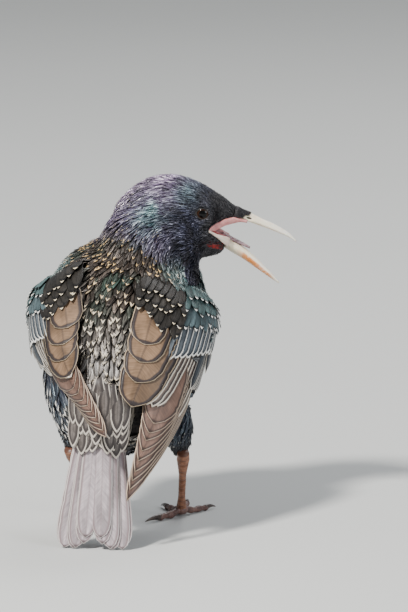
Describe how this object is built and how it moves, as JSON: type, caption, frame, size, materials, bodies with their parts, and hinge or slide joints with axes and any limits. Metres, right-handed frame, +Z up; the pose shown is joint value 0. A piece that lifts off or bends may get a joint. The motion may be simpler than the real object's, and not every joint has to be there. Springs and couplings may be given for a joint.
{
  "type": "starling",
  "caption": "Life-size perching bird standing with closed wings, its head turned to one side and its pointed bill open",
  "frame": {"origin": "middle of the underside of the bird's bounding box, on the floor that its soles and tail tips rest on", "axes": "+Z up, along the longest extent; +Y the way the bird's body faces; +X the bird's right, the side its head is turned to"},
  "size_m": [0.1056, 0.1092, 0.1406],
  "materials": {
    "plumage": "glossy black body feathers with buff and white spots",
    "flight_feathers": "satin brown vanes with buff edges",
    "tail_feathers": "satin grey-brown vanes with pale edges",
    "bill": "smooth cream horn",
    "mouth": "moist pink",
    "eye": "wet dark brown",
    "leg": "scaled red-brown skin",
    "claw": "dark horn"
  },
  "bodies": {
    "root": {"bill_lower": "bill", "bill_upper": "bill", "claw_hind_left": "claw", "claw_hind_right": "claw", "claw_inner_left": "claw", "claw_inner_right": "claw", "claw_middle_left": "claw", "claw_middle_right": "claw", "claw_outer_left": "claw", "claw_outer_right": "claw", "eye_left": "eye", "eye_right": "eye", "foot_left": "leg", "foot_right": "leg", "head": "plumage", "neck": "plumage", "shank_left": "leg", "shank_right": "leg", "tail": "tail_feathers", "thigh_left": "plumage", "thigh_right": "plumage", "tongue": "mouth", "torso": "plumage", "wing_left": "flight_feathers", "wing_right": "flight_feathers"}
  },
  "joints": []
}
